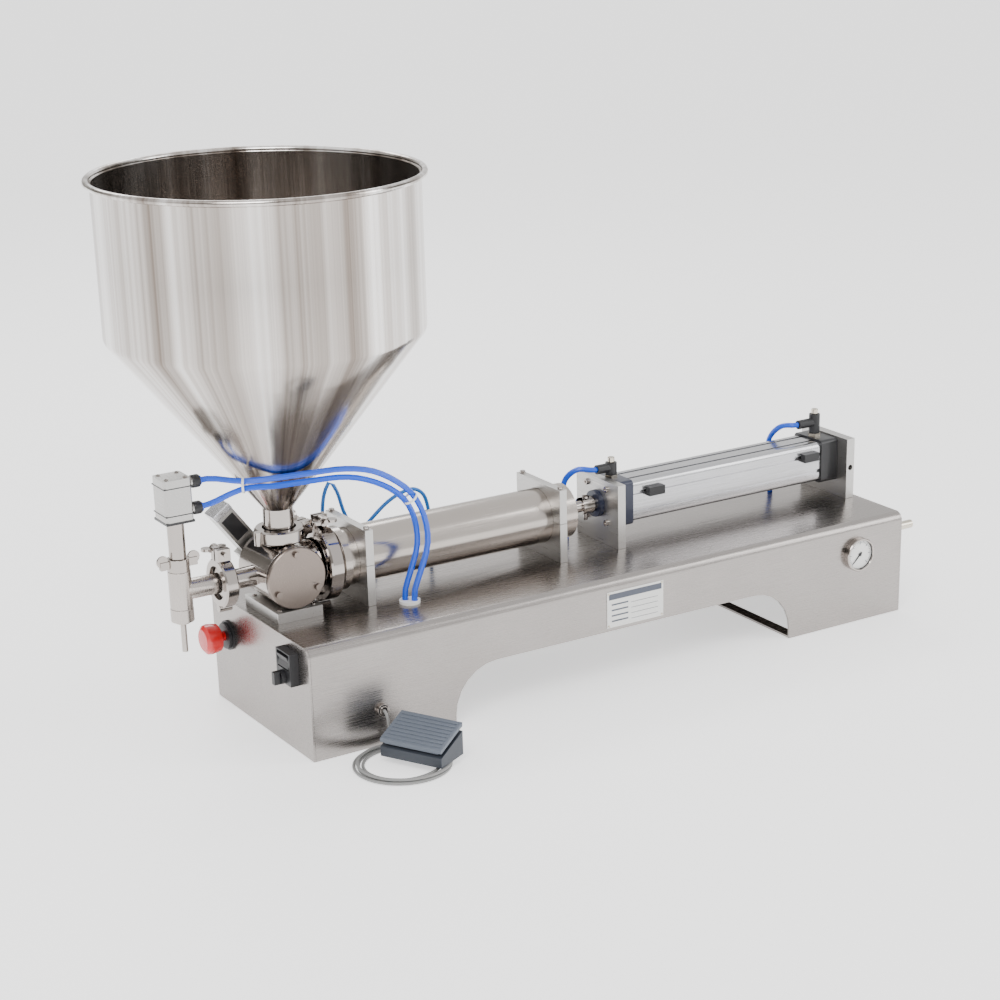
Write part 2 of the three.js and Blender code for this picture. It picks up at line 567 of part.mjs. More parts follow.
// Pressure gauge, air inlet, and the valves inside the cabinet
const gaugeCase = cut(
  add(rod("y", 23.5, -8, -0.1, ...GAUGE), rod("y", 18, -1, 22, ...GAUGE)),
  rod("y", 20.5, -9, -5, ...GAUGE),
  rod("y", 1.3, -6, -3, ...GAUGE),
);
node("gauge_case", gaugeCase, BLACK);
const NEEDLE_REST = -135;
const pointer = plate("y", [[-1.2, -4], [1.2, -4], [0.4, 16], [-0.4, 16]], -6.4, -5.6);
const needle = add(
  rod("y", 2.5, -6.6, -5.4, ...GAUGE),
  rod("y", 1, -6, -3.4, ...GAUGE),
  pointer.rotate([0, NEEDLE_REST, 0]).translate([GAUGE[0], 0, GAUGE[1]]),
);
node("gauge_needle", needle, BLACK);
const inlet = cut(
  add(rod("x", 6.3, 920, 940, ...INLET), rod("x", 9, 930.1, 937, ...INLET), rod("x", 6, 936, 962, ...INLET)),
  rod("x", 4.2, 919, 963, ...INLET),
);
node("air_inlet", inlet, STEEL);
const coils = [0, 1, 2].map((i) => box(308 + 38 * i, 336 + 38 * i, 90, 121, 116, 138));
const manifoldBlock = box(300, 420, 120, 160, 112, CABINET_HEIGHT - SHEET - 0.1);
node("solenoid_valves", add(manifoldBlock, ...coils), BLACK);

// Foot pedal: a wedge base with a hinged treadle on top
const rise = (depth) => Math.tan((PEDAL_SLOPE * Math.PI) / 180) * depth;
const toPedal = (manifold) => manifold.rotate([0, 0, PEDAL_YAW]).translate([...PEDAL_FRONT, PEDAL_BOTTOM]);
const halfWidth = PEDAL_WIDTH / 2;
const pedalTop = PEDAL_HEIGHT - 11;
const pedalBack = rise(PEDAL_DEPTH);
const pedalProfile = [[0, 0], [PEDAL_DEPTH, 0], [PEDAL_DEPTH, pedalTop + pedalBack], [0, pedalTop]];
const pedalHollow = [[6, 3], [PEDAL_DEPTH - 4, 3], [PEDAL_DEPTH - 4, 60], [6, 60]];
const pedalBase = cut(
  plate("x", pedalProfile, -halfWidth, halfWidth),
  plate("x", pedalHollow, 4 - halfWidth, halfWidth - 4),
);
node("pedal_base", toPedal(pedalBase), SLATE);
const TREADLE = 5;
const treadleSide = [[0, 0], [PEDAL_DEPTH, pedalBack], [PEDAL_DEPTH, TREADLE + pedalBack], [0, TREADLE]];
const treadle = plate("x", treadleSide, -halfWidth, halfWidth).translate([0, 0, PEDAL_HEIGHT - TREADLE]);
const hingeBarrel = rod("x", 2.6, 6 - halfWidth, halfWidth - 6, 2.8, PEDAL_HEIGHT - 4.6);
node("pedal_treadle", toPedal(add(treadle, hingeBarrel)), SLATE);

// Pedal cable: gland, plain tube down to the floor, and the coil the pedal rests on
const gland = cut(
  add(rod("y", 8, -5, -0.1, ...CABLE_EXIT), rod("y", 5.3, -6, 12, ...CABLE_EXIT)),
  rod("y", CABLE_RADIUS + 0.2, -7, 13, ...CABLE_EXIT),
);
node("cord_gland", gland, BLACK);
const cordRoute = [[96, -5.3, 47], [96, -8.5, 46.3], [96.2, -12.5, 41], [96.8, -15, 30], [98.5, -16.5, 17],
  [101, -17, 11]];
node("cord", tube(cordRoute, CABLE_RADIUS, 8, 20), GREY);
node("cord_coil", ring("z", COIL_OUTER, COIL_INNER, 0, 8, ...COIL_CENTRE), GREY);

// The origin is the middle of the standing object's box, seen from above, on the floor.
const extent = new THREE.Box3();
for (const mesh of filler.children) {
  if (!cordNodes.has(mesh.name)) extent.expandByObject(mesh, true);
}
const middle = extent.getCenter(new THREE.Vector3());
filler.position.set(-middle.x, -middle.y, 0);

export default filler;
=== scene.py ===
"""Looks of the pneumatic piston filler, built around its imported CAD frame. Metres, +Z up."""

import math

import bmesh
import bpy
from mathutils import Matrix, Vector


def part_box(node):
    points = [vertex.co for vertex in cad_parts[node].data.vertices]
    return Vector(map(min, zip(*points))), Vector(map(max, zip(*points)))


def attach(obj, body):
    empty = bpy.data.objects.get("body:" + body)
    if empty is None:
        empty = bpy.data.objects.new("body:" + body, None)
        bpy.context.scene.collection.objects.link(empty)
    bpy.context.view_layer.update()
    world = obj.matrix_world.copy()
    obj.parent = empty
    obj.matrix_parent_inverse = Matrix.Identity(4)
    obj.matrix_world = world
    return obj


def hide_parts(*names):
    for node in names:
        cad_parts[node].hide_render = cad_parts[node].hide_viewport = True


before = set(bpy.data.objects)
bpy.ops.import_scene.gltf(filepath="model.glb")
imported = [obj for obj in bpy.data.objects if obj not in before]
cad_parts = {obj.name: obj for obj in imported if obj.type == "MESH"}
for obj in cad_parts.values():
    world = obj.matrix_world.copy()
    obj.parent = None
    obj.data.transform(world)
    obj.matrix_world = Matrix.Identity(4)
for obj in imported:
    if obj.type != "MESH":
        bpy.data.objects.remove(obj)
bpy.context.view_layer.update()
MACHINE = "machine"
MM = 0.001
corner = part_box("cabinet_end_near")[0]


def at(x, y, z):
    """A point of the machine, in millimetres from the cabinet's near corner, in the row frame."""
    return Vector((corner[0] + x * MM, corner[1] + y * MM, z * MM))


# ---------------------------------------------------------------- driving places, in machine millimetres
AXIS_Y = 147
VALVE_X, VALVE_Z = 43, 198
AIR_AXIS_Z = 199
FRONT_HEAD_X, REAR_HEAD_X = 515, 921
FRONT_PORT_X, REAR_PORT_X = 538, 888
SUPPORT_XS, SUPPORT_THICKNESS, SUPPORT_TOP_Z = (134, 421), 11, 244.5
NOZZLE_X, NOZZLE_CYLINDER_TOP_Z = -93, 342
NOZZLE_PORT_Y, NOZZLE_PORTS = 135.5, (("upper", 335), ("lower", 302))
STOP_Y, STOP_Z = 224, 97
GAUGE_X, GAUGE_Z = 850, 100
ACTUATOR_Y, ACTUATOR_LEAN = 207, math.radians(53.4)
PEDAL_PLACE, PEDAL_YAW, TREADLE_SLOPE = (87.5, -84, 8.5), math.radians(-62), math.tan(math.radians(20))


# ---------------------------------------------------------------- camera
AZIMUTH, ELEVATION, ROLL = -0.580105, 0.372278, -0.014025
CAMERA_PLACE = (-1110.8, -2288.6, 1112.7)
back = Vector((
    math.sin(AZIMUTH) * math.cos(ELEVATION),
    -math.cos(AZIMUTH) * math.cos(ELEVATION),
    math.sin(ELEVATION),
))
right = (-back).cross(Vector((0, 0, 1))).normalized()
up = right.cross(-back)
right, up = (
    math.cos(ROLL) * right + math.sin(ROLL) * up,
    -math.sin(ROLL) * right + math.cos(ROLL) * up,
)
camera_data = bpy.data.cameras.new("camera")
camera = bpy.data.objects.new("camera", camera_data)
bpy.context.scene.collection.objects.link(camera)
camera_data.sensor_width = 36
camera_data.lens = 81.75
camera_data.shift_x = -0.081
camera_data.shift_y = 0.161
camera_data.clip_end = 50
facing = Matrix((right, up, back)).transposed().to_4x4()
camera.matrix_world = Matrix.Translation(at(*CAMERA_PLACE)) @ facing
bpy.context.scene.camera = camera


# ---------------------------------------------------------------- mesh helpers
def make(name, bm, mat, body=MACHINE, smooth=True):
    """A piece from a bmesh, with its material, riding on a body."""
    mesh = bpy.data.meshes.new(name)
    bm.to_mesh(mesh)
    bm.free()
    for polygon in mesh.polygons:
        polygon.use_smooth = smooth
    obj = bpy.data.objects.new(name, mesh)
    bpy.context.scene.collection.objects.link(obj)
    mesh.materials.append(mat)
    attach(obj, body)
    return obj


def sharpen(bm, degrees):
    """Mark every edge that turns by more than an angle as sharp."""
    for edge in bm.edges:
        edge.smooth = len(edge.link_faces) == 2 and edge.calc_face_angle(0) < math.radians(degrees)
    return bm


def basis(axis):
    """Two unit directions across an axis, and the axis itself."""
    z = Vector(axis).normalized()
    x = Vector((0, 0, 1)) if abs(z.z) < 0.9 else Vector((1, 0, 0))
    x = (x - x.dot(z) * z).normalized()
    return x, z.cross(x), z


def lathe(name, origin, axis, profile, mat, segments, closed=False, phase=0.0):
    """A round piece: profile points are (radius, distance along the axis) in millimetres."""
    x, y, z = basis(axis)
    bm = bmesh.new()
    rings = []
    for radius, along in profile:
        centre = origin + z * along * MM
        if radius < 1e-6:
            rings.append([bm.verts.new(centre)])
            continue
        turns = [2 * math.pi * i / segments + phase for i in range(segments)]
        spokes = [math.cos(t) * x + math.sin(t) * y for t in turns]
        rings.append([bm.verts.new(centre + radius * MM * spoke) for spoke in spokes])
    pairs = list(zip(rings, rings[1:]))
    if closed:
        pairs.append((rings[-1], rings[0]))
    for low, high in pairs:
        for i in range(segments):
            j = (i + 1) % segments
            if len(low) == 1 and len(high) == 1:
                break
            if len(low) == 1:
                bm.faces.new((low[0], high[j], high[i]))
            elif len(high) == 1:
                bm.faces.new((low[i], low[j], high[0]))
            else:
                bm.faces.new((low[i], low[j], high[j], high[i]))
    bmesh.ops.recalc_face_normals(bm, faces=bm.faces)
    return make(name, sharpen(bm, 28), mat)


def block(name, low, high, mat, bevel):
    """A box between two machine points, with rounded edges."""
    bm = bmesh.new()
    bmesh.ops.create_cube(bm, size=1)
    a, b = at(*low), at(*high)
    for vert in bm.verts:
        vert.co = Vector([(a[i] + b[i]) / 2 + vert.co[i] * abs(b[i] - a[i]) for i in range(3)])
    obj = make(name, bm, mat)
    edge_bevel(obj, bevel)
    return obj


def edge_bevel(obj, width):
    """Round a piece's edges by a width in millimetres."""
    bevel = obj.modifiers.new("edges", "BEVEL")
    bevel.width = width * MM
    bevel.segments = 2
    bevel.limit_method = "ANGLE"
    bevel.angle_limit = math.radians(32)
    bevel.harden_normals = True


def hose(name, points, radius, mat):
    """A tube along a smooth curve through machine points."""
    curve = bpy.data.curves.new(name, "CURVE")
    curve.dimensions = "3D"
    curve.bevel_depth = radius * MM
    curve.bevel_resolution = 5
    curve.use_fill_caps = True
    path = smooth_path([at(*p) for p in points], 14)
    spline = curve.splines.new("POLY")
    spline.points.add(len(path) - 1)
    for point, co in zip(spline.points, path):
        point.co = (*co, 1)
    spline.use_smooth = True
    obj = bpy.data.objects.new(name, curve)
    bpy.context.scene.collection.objects.link(obj)
    curve.materials.append(mat)
    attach(obj, MACHINE)
    return obj


def smooth_path(points, per_span):
    """A centripetal Catmull-Rom curve through the points, the curve the CAD tubes follow."""
    ends = [2 * points[0] - points[1], *points, 2 * points[-1] - points[-2]]
    path = []
    for i in range(1, len(ends) - 2):
        p0, p1, p2, p3 = ends[i - 1 : i + 3]
        t0 = 0.0
        t1 = t0 + (p1 - p0).length ** 0.5
        t2 = t1 + (p2 - p1).length ** 0.5
        t3 = t2 + (p3 - p2).length ** 0.5
        for k in range(per_span):
            t = t1 + (t2 - t1) * k / per_span
            a1 = p0 * (t1 - t) / (t1 - t0) + p1 * (t - t0) / (t1 - t0)
            a2 = p1 * (t2 - t) / (t2 - t1) + p2 * (t - t1) / (t2 - t1)
            a3 = p2 * (t3 - t) / (t3 - t2) + p3 * (t - t2) / (t3 - t2)
            b1 = a1 * (t2 - t) / (t2 - t0) + a2 * (t - t0) / (t2 - t0)
            b2 = a2 * (t3 - t) / (t3 - t1) + a3 * (t - t1) / (t3 - t1)
            path.append(b1 * (t2 - t) / (t2 - t1) + b2 * (t - t1) / (t2 - t1))
    path.append(ends[-2])
    return path


# ---------------------------------------------------------------- materials
def material(
    name, color, metallic=0.0, roughness=0.5, coat=0.0, grain=None,
    bump=0.05, mottled=0.06, wear=0.08, scale=60.0,
):
    """A procedural surface. grain stretches fine lines along an axis: 'x', 'y' or 'z'."""
    mat = bpy.data.materials.new(name)
    mat.use_nodes = True
    tree = mat.node_tree
    nodes, links = tree.nodes, tree.links
    shader = nodes["Principled BSDF"]
    shader.inputs["Metallic"].default_value = metallic
    shader.inputs["Coat Weight"].default_value = coat
    shader.inputs["Coat Roughness"].default_value = 0.08
    coords = nodes.new("ShaderNodeTexCoord")
    mapping = nodes.new("ShaderNodeMapping")
    links.new(coords.outputs["Object"], mapping.inputs["Vector"])
    stretch = {None: (1, 1, 1), "x": (0.02, 1, 1), "y": (1, 0.02, 1), "z": (1, 1, 0.02)}[grain]
    mapping.inputs["Scale"].default_value = [s * (900 if grain else scale * 6) for s in stretch]
    fine = nodes.new("ShaderNodeTexNoise")
    fine.inputs["Scale"].default_value = 1.0
    fine.inputs["Detail"].default_value = 4
    links.new(mapping.outputs["Vector"], fine.inputs["Vector"])
    broad = nodes.new("ShaderNodeTexNoise")
    broad.inputs["Scale"].default_value = 14
    broad.inputs["Detail"].default_value = 5
    links.new(coords.outputs["Object"], broad.inputs["Vector"])
    tint = nodes.new("ShaderNodeMix")
    tint.data_type = "RGBA"
    tint.inputs["A"].default_value = (*[c * (1 - mottled) for c in color], 1)
    tint.inputs["B"].default_value = (*[min(1, c * (1 + mottled * 0.6)) for c in color], 1)
    links.new(broad.outputs["Fac"], tint.inputs["Factor"])
    links.new(tint.outputs["Result"], shader.inputs["Base Color"])
    rough = nodes.new("ShaderNodeMapRange")
    rough.inputs["From Min"].default_value = 0.3
    rough.inputs["From Max"].default_value = 0.7
    rough.inputs["To Min"].default_value = max(0.02, roughness - wear)
    rough.inputs["To Max"].default_value = min(1, roughness + wear)
    links.new((fine if grain else broad).outputs["Fac"], rough.inputs["Value"])
    links.new(rough.outputs["Result"], shader.inputs["Roughness"])
    relief = nodes.new("ShaderNodeBump")
    relief.inputs["Strength"].default_value = bump
    relief.inputs["Distance"].default_value = 0.0004
    links.new(fine.outputs["Fac"], relief.inputs["Height"])
    links.new(relief.outputs["Normal"], shader.inputs["Normal"])
    return mat


def painted_reflection_steel(name):
    """Spun, hand-polished sheet: fine vertical grain in its relief, and painted reflections, bands of dark
    brown to near-white colour that fan out from the hopper's axis and stand in for the surroundings mirrored
    in the steel.
    """
    mat = material(name, (0.66, 0.63, 0.6), 1.0, 0.17, grain="z", bump=0.03, mottled=0.05, wear=0.04)
    tree = mat.node_tree
    nodes, links = tree.nodes, tree.links
    coords = nodes.new("ShaderNodeTexCoord")
    low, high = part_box("hopper")
    centre = nodes.new("ShaderNodeVectorMath")
    centre.operation = "SUBTRACT"
    centre.inputs[1].default_value = ((low[0] + high[0]) / 2, (low[1] + high[1]) / 2, 0)
    links.new(coords.outputs["Object"], centre.inputs[0])
    flat = nodes.new("ShaderNodeVectorMath")
    flat.operation = "MULTIPLY"
    flat.inputs[1].default_value = (1, 1, 0)
    links.new(centre.outputs[0], flat.inputs[0])
    round_ = nodes.new("ShaderNodeVectorMath")
    round_.operation = "NORMALIZE"
    links.new(flat.outputs[0], round_.inputs[0])
    painted_reflection_bands = nodes.new("ShaderNodeTexNoise")
    painted_reflection_bands.inputs["Scale"].default_value = 2.6
    painted_reflection_bands.inputs["Detail"].default_value = 7
    painted_reflection_bands.inputs["Roughness"].default_value = 0.62
    links.new(round_.outputs[0], painted_reflection_bands.inputs["Vector"])
    # Painted reflection: the ramp turns the band noise into dark brown and near-white base colour, the
    # mirrored surroundings painted onto the steel.
    ramp = nodes.new("ShaderNodeValToRGB")
    ramp.color_ramp.elements[0].position = 0.38
    ramp.color_ramp.elements[0].color = (0.2, 0.165, 0.14, 1)
    ramp.color_ramp.elements[1].position = 0.6
    ramp.color_ramp.elements[1].color = (0.84, 0.82, 0.8, 1)
    middle = ramp.color_ramp.elements.new(0.5)
    middle.color = (0.52, 0.48, 0.45, 1)
    links.new(painted_reflection_bands.outputs["Fac"], ramp.inputs["Fac"])
    links.new(ramp.outputs["Color"], nodes["Principled BSDF"].inputs["Base Color"])
    return mat


hopper_steel = painted_reflection_steel("spun_hopper_steel")
polished = material("polished_steel", (0.42, 0.385, 0.36), 1.0, 0.13, bump=0.03, wear=0.05, scale=20)
brushed_x = material("brushed_steel_long", (0.46, 0.42, 0.385), 1.0, 0.2, grain="x", bump=0.025)
cabinet_steel = material(
    "brushed_cabinet_sheet", (0.35, 0.325, 0.31), 1.0, 0.27, grain="x", bump=0.018, mottled=0.1
)
brushed_z = material("brushed_steel_upright", (0.48, 0.44, 0.41), 1.0, 0.25, grain="z", bump=0.06)
cover_steel = material("faced_cover_steel", (0.25, 0.21, 0.185), 1.0, 0.33, grain="y", bump=0.05)
satin = material("satin_aluminium", (0.5, 0.49, 0.475), 0.95, 0.34, grain="y", bump=0.03)
bright = material("bright_barrel", (0.5, 0.5, 0.515), 0.95, 0.22, grain="x", bump=0.015)
navy = material("navy_head", (0.014, 0.019, 0.045), 0.1, 0.4, coat=0.3, bump=0.12, scale=200)
black_metal = material("black_head", (0.012, 0.012, 0.014), 0.1, 0.38, coat=0.2, bump=0.12, scale=200)
black = material("black_plastic", (0.014, 0.014, 0.016), 0.0, 0.42, bump=0.12, scale=160)
white = material("white_plastic", (0.85, 0.85, 0.83), 0.0, 0.4, bump=0.05, scale=80)
blue = material("blue_tube", (0.006, 0.085, 0.66), 0.0, 0.34, coat=0.08, bump=0.02, scale=40)
teal = material("thin_tube", (0.01, 0.16, 0.56), 0.0, 0.34, coat=0.08, bump=0.02, scale=40)
red = material("red_button", (0.68, 0.006, 0.008), 0.0, 0.25, coat=0.5, bump=0.03, scale=80)
slate = material("pedal_plastic", (0.12, 0.14, 0.175), 0.0, 0.5, bump=0.14, scale=160)
pedal_dark = material("pedal_base_plastic", (0.035, 0.042, 0.055), 0.0, 0.5, bump=0.14, scale=160)
nickel = material("nickel", (0.62, 0.57, 0.48), 1.0, 0.22, bump=0.04, scale=60)
sheath = material("cable_sheath", (0.25, 0.25, 0.245), 0.0, 0.45, bump=0.08, scale=120)
label = material("plate_print", (0.72, 0.72, 0.7), 0.3, 0.4, bump=0.03, scale=80)
ink = material("label_ink", (0.08, 0.09, 0.12), 0.1, 0.5, bump=0.02, scale=80)
dial = material("dial_face", (0.82, 0.82, 0.8), 0.0, 0.35, coat=0.6, bump=0.01, scale=80)

looks = {
    "cabinet_shell": cabinet_steel, "cabinet_end_near": cabinet_steel, "cabinet_end_far": cabinet_steel,
    "valve_saddle": satin, "valve_body": polished, "valve_cover": cover_steel,
    "valve_spool": polished, "actuator_rack": brushed_x, "actuator_housing": satin, "hopper": hopper_steel,
    "hopper_neck": polished, "nozzle_body": brushed_z, "nozzle_tip": brushed_z, "nozzle_bonnet": polished,
    "nozzle_clamp": polished, "nozzle_cylinder": satin, "nozzle_stem": polished,
    "product_cylinder": brushed_x, "product_piston": white, "piston_rod": polished, "air_piston": polished,
    "air_head_front": navy, "air_head_rear": black_metal, "air_barrel": bright, "air_inlet": nickel,
    "speed_control_front": black, "speed_control_rear": black, "reed_switch_front": black,
    "reed_switch_rear": black, "tube_grommet": white, "e_stop_base": black, "e_stop_button": red,
    "switch_block": black, "switch_rocker": black, "selector_knob": black, "gauge_case": black,
    "gauge_needle": black, "solenoid_valves": black, "pedal_base": pedal_dark, "pedal_treadle": slate,
    "cord_gland": polished, "cord": sheath, "cord_coil": sheath,
    "nozzle_tube_upper": blue, "nozzle_tube_lower": blue, "cylinder_tube_front": blue,
    "cylinder_tube_rear": blue, "actuator_tube": teal,
}
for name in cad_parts:
    if name.startswith(("front_support", "rear_support", "head_plate")):
        looks[name] = satin
    if name.startswith(("hopper_clamp", "outlet_clamp", "cylinder_clamp")):
        looks[name] = polished


def smoothing_group():
    """Geometry nodes that weld a CAD mesh, drop its flat normals and shade it smooth up to an angle."""
    group = bpy.data.node_groups.new("smooth_by_angle", "GeometryNodeTree")
    group.interface.new_socket("Geometry", in_out="INPUT", socket_type="NodeSocketGeometry")
    group.interface.new_socket("Geometry", in_out="OUTPUT", socket_type="NodeSocketGeometry")
    nodes, links = group.nodes, group.links
    start, end = nodes.new("NodeGroupInput"), nodes.new("NodeGroupOutput")
    weld = nodes.new("GeometryNodeMergeByDistance")
    weld.inputs["Distance"].default_value = 2e-6
    drop = nodes.new("GeometryNodeRemoveAttribute")
    drop.inputs["Name"].default_value = "custom_normal"
    faces = nodes.new("GeometryNodeSetShadeSmooth")
    faces.domain = "FACE"
    edges = nodes.new("GeometryNodeSetShadeSmooth")
    edges.domain = "EDGE"
    edges.inputs["Shade Smooth"].default_value = False
    angle = nodes.new("GeometryNodeInputMeshEdgeAngle")
    above = nodes.new("FunctionNodeCompare")
    above.operation = "GREATER_THAN"
    above.inputs[1].default_value = math.radians(32)
    links.new(angle.outputs["Unsigned Angle"], above.inputs[0])
    links.new(above.outputs[0], edges.inputs["Selection"])
    chain = [start, weld, drop, faces, edges, end]
    for before, after in zip(chain, chain[1:]):
        links.new(before.outputs[0], after.inputs[0])
    return group


smoothing = smoothing_group()
BEVELS = {
    "cabinet_shell": 0, "hopper": 0, "product_cylinder": 0.3, "gauge_needle": 0, "cord": 0, "cord_coil": 0,
}
for name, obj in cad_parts.items():
    obj.data.materials[0] = looks[name]
    modifier = obj.modifiers.new("smooth", "NODES")
    modifier.node_group = smoothing
    width = BEVELS.get(name, 0 if "tube_" in name or name == "actuator_tube" else 0.4)
    if width:
        edge_bevel(obj, width)

# ---------------------------------------------------------------- pedal cable, a free cord
CABLE = 2.0
COIL = (85, -70)
lead = [
    (96, -5.3, 47), (96, -8.5, 46.3), (96.2, -12.5, 41), (96.8, -15, 30), (98.5, -16.5, 17), (102, -16.8, 9),
]
tail = [
    (122, -15.5, 2.3), (137, -20, 3.2), (147.5, -29.5, 5), (150, -41, 8.5), (146.5, -51.5, 12),
    (139.6, -57, 13.8), (132.2, -60.4, 14),
]


def coil_point(degrees, radius, z):
    turn = math.radians(degrees)
    return COIL[0] + radius * math.cos(turn), COIL[1] + radius * math.sin(turn), z


# The coil winds clockwise from 65 degrees: one turn on top, in and down, then out along the floor.
# Each stage is a count of turns, a radius and a height.
STAGES = [(0.0, 59.5, 6.4), (1.0, 54.5, 6.4), (1.25, 48.2, 6.4), (1.5, 47.6, 2.1), (3.986, 61.4, 2.1)]
coil_points = []
for (t0, r0, z0), (t1, r1, z1) in zip(STAGES, STAGES[1:]):
    steps = max(3, round((t1 - t0) * 16))
    for i in range(steps):
        k = i / steps
        degrees = 65 - 360 * (t0 + (t1 - t0) * k)
        coil_points.append(coil_point(degrees, r0 + (r1 - r0) * k, z0 + (z1 - z0) * k))
coil_points.append(coil_point(70, 61.4, 2.1))
cable_path = smooth_path([at(*p) for p in lead + coil_points + tail], 6)


def sweep(name, path, radius, mat):
    """A mesh tube along a path of points."""
    sides = 12
    bm = bmesh.new()
    rings = []
    normal = None
    for i, point in enumerate(path):
        ahead = path[min(i + 1, len(path) - 1)] - path[max(i - 1, 0)]
        tangent = ahead.normalized()
        if normal is None:
            normal = tangent.orthogonal().normalized()
        normal = (normal - normal.dot(tangent) * tangent).normalized()
        side = tangent.cross(normal)
        ring = []
        for k in range(sides):
            turn = 2 * math.pi * k / sides
            ring.append(bm.verts.new(point + radius * MM * (math.cos(turn) * normal + math.sin(turn) * side)))
        rings.append(ring)
    for low, high in zip(rings, rings[1:]):
        for k in range(sides):
            bm.faces.new((low[k], low[(k + 1) % sides], high[(k + 1) % sides], high[k]))
    bm.faces.new(rings[0])
    bm.faces.new(rings[-1])
    bmesh.ops.recalc_face_normals(bm, faces=bm.faces)
    return make(name, sharpen(bm, 50), mat)


cable = sweep("pedal_cable", cable_path, CABLE, sheath)
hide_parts("cord", "cord_coil")

# ---------------------------------------------------------------- hopper, with its rolled rim in fine steps
HOPPER_AXIS = at(VALVE_X, AXIS_Y, 0)
HOPPER_RADIUS, NECK_RADIUS = 192, 20
RIM_RADIUS, RIM_Z = 4, 684
CONE_FOOT_Z, CONE_TOP_Z = 281.3, 500
CONE_STEPS, CONE_SHARE = 6, 0.99
rim = []
for i in range(13):
    turn = math.pi * (1.15 - 1.6 * i / 12)
    radius = HOPPER_RADIUS + RIM_RADIUS + RIM_RADIUS * math.cos(turn)
    rim.append((radius, RIM_Z + RIM_RADIUS * math.sin(turn)))
outer = [(17, 280), (19, 280), (NECK_RADIUS, CONE_FOOT_Z)]
cone = []
for i in range(1, CONE_STEPS):
    radius = NECK_RADIUS + (HOPPER_RADIUS - NECK_RADIUS) * i / CONE_STEPS * CONE_SHARE
    cone.append((radius, CONE_FOOT_Z + (CONE_TOP_Z - CONE_FOOT_Z) * i / CONE_STEPS * CONE_SHARE))
wall = [(190.4, 497.5), (191.6, 500.5), (HOPPER_RADIUS, 504), (HOPPER_RADIUS, 590), (HOPPER_RADIUS, 680)]
inner = [(190, 682), (190, 505), (189, 500), (188, 498), (20, 284.5), (17.1, 280.8)]
hopper = lathe(
    "hopper_spun", HOPPER_AXIS, (0, 0, 1), outer + cone + wall + rim + inner, hopper_steel, 128, closed=True
)
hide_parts("hopper")

# ---------------------------------------------------------------- screws and small fittings
def cap_screw(name, point, axis, radius, height, mat=polished):
    """A socket-head screw: a round head with a recess, standing on a face."""
    profile = [
        (0, 0), (radius, 0), (radius, height * 0.85), (radius * 0.88, height), (radius * 0.5, height),
        (radius * 0.5, height * 0.5), (0, height * 0.5),
    ]
    return lathe(name, point, axis, profile, mat, 24)


def four_around(reach):
    """The four corners of a square about its centre, in the order that the screws are numbered."""
    return [(-reach, -reach), (-reach, reach), (reach, -reach), (reach, reach)]


TIE_ROD_REACH = 23.25
for i, (dy, dz) in enumerate(four_around(TIE_ROD_REACH)):
    cap_screw(f"head_screw_{i}", at(FRONT_HEAD_X, AXIS_Y + dy, AIR_AXIS_Z + dz), (-1, 0, 0), 4.2, 3.5)
    cap_screw(f"rear_screw_{i}", at(REAR_HEAD_X, AXIS_Y + dy, AIR_AXIS_Z + dz), (1, 0, 0), 4.2, 3.5)
for x in SUPPORT_XS:
    for y in (101, 193):
        place = at(x + SUPPORT_THICKNESS / 2, y, SUPPORT_TOP_Z)
        cap_screw(f"cap_screw_{x}_{y}", place, (0, 0, 1), 3.7, 3.2)
for i, (x, y) in enumerate([(20, 112), (66, 112), (20, 182), (66, 182)]):
    cap_screw(f"saddle_screw_{i}", at(x, y, 158.5), (0, 0, 1), 3.2, 1.2)

# gauge: bezel and a dial with tick marks
GAUGE = at(GAUGE_X, 0, GAUGE_Z)
TICK_END = 19
bezel = [(20.5, 5.4), (20.5, 8), (21.2, 9.2), (22.8, 9.2), (23.6, 8), (23.6, 1), (23.6, 0.2), (20.5, 0.2)]
bezel_piece = lathe("gauge_bezel", GAUGE, (0, -1, 0), bezel, polished, 64, closed=True)
face_ring = [(2.4, 5.05), (20.4, 5.05), (20.4, 5.35), (2.4, 5.35)]
face = lathe("gauge_dial", GAUGE, (0, -1, 0), face_ring, dial, 64, closed=True)
ticks = bmesh.new()
for i in range(31):
    turn = math.radians(225 - 9 * i)
    length, width = (4.2, 0.5) if i % 5 == 0 else (2.2, 0.25)
    out = Vector((math.cos(turn), 0, math.sin(turn)))
    across = Vector((-math.sin(turn), 0, math.cos(turn)))
    front = Vector((0, -5.5 * MM, 0))
    start = TICK_END - length
    outline = [(start, -width), (TICK_END, -width), (TICK_END, width), (start, width)]
    corners = [GAUGE + front + (out * r + across * w) * MM for r, w in outline]
    low = [ticks.verts.new(c) for c in corners]
    high = [ticks.verts.new(c + Vector((0, 0.15 * MM, 0))) for c in corners]
    ticks.faces.new(low)
    ticks.faces.new(high[::-1])
    for k in range(4):
        ticks.faces.new((low[k], high[k], high[(k + 1) % 4], low[(k + 1) % 4]))
bmesh.ops.recalc_face_normals(ticks, faces=ticks.faces)
make("gauge_ticks", ticks, ink, smooth=False)

# nameplate with plain bars instead of words, held by four rivets
block("nameplate", (430, -0.9, 80), (519, -0.05, 129), label, bevel=0.2)
block("nameplate_band", (433, -1.1, 118), (516, -0.85, 126), ink, bevel=0.05)
for row in range(4):
    z = 110 - 7.5 * row
    line = block(f"nameplate_line_{row}", (437, -1.1, z), (463, -0.85, z + 2), ink, bevel=0.05)
    field = block(f"nameplate_field_{row}", (468, -1.1, z - 1), (510, -0.85, z - 0.5), ink, bevel=0.05)
for i, (x, z) in enumerate([(432.5, 82.5), (516.5, 82.5), (432.5, 126.5), (516.5, 126.5)]):
    cap_screw(f"rivet_{i}", at(x, -0.9, z), (0, -1, 0), 1.4, 0.8, nickel)

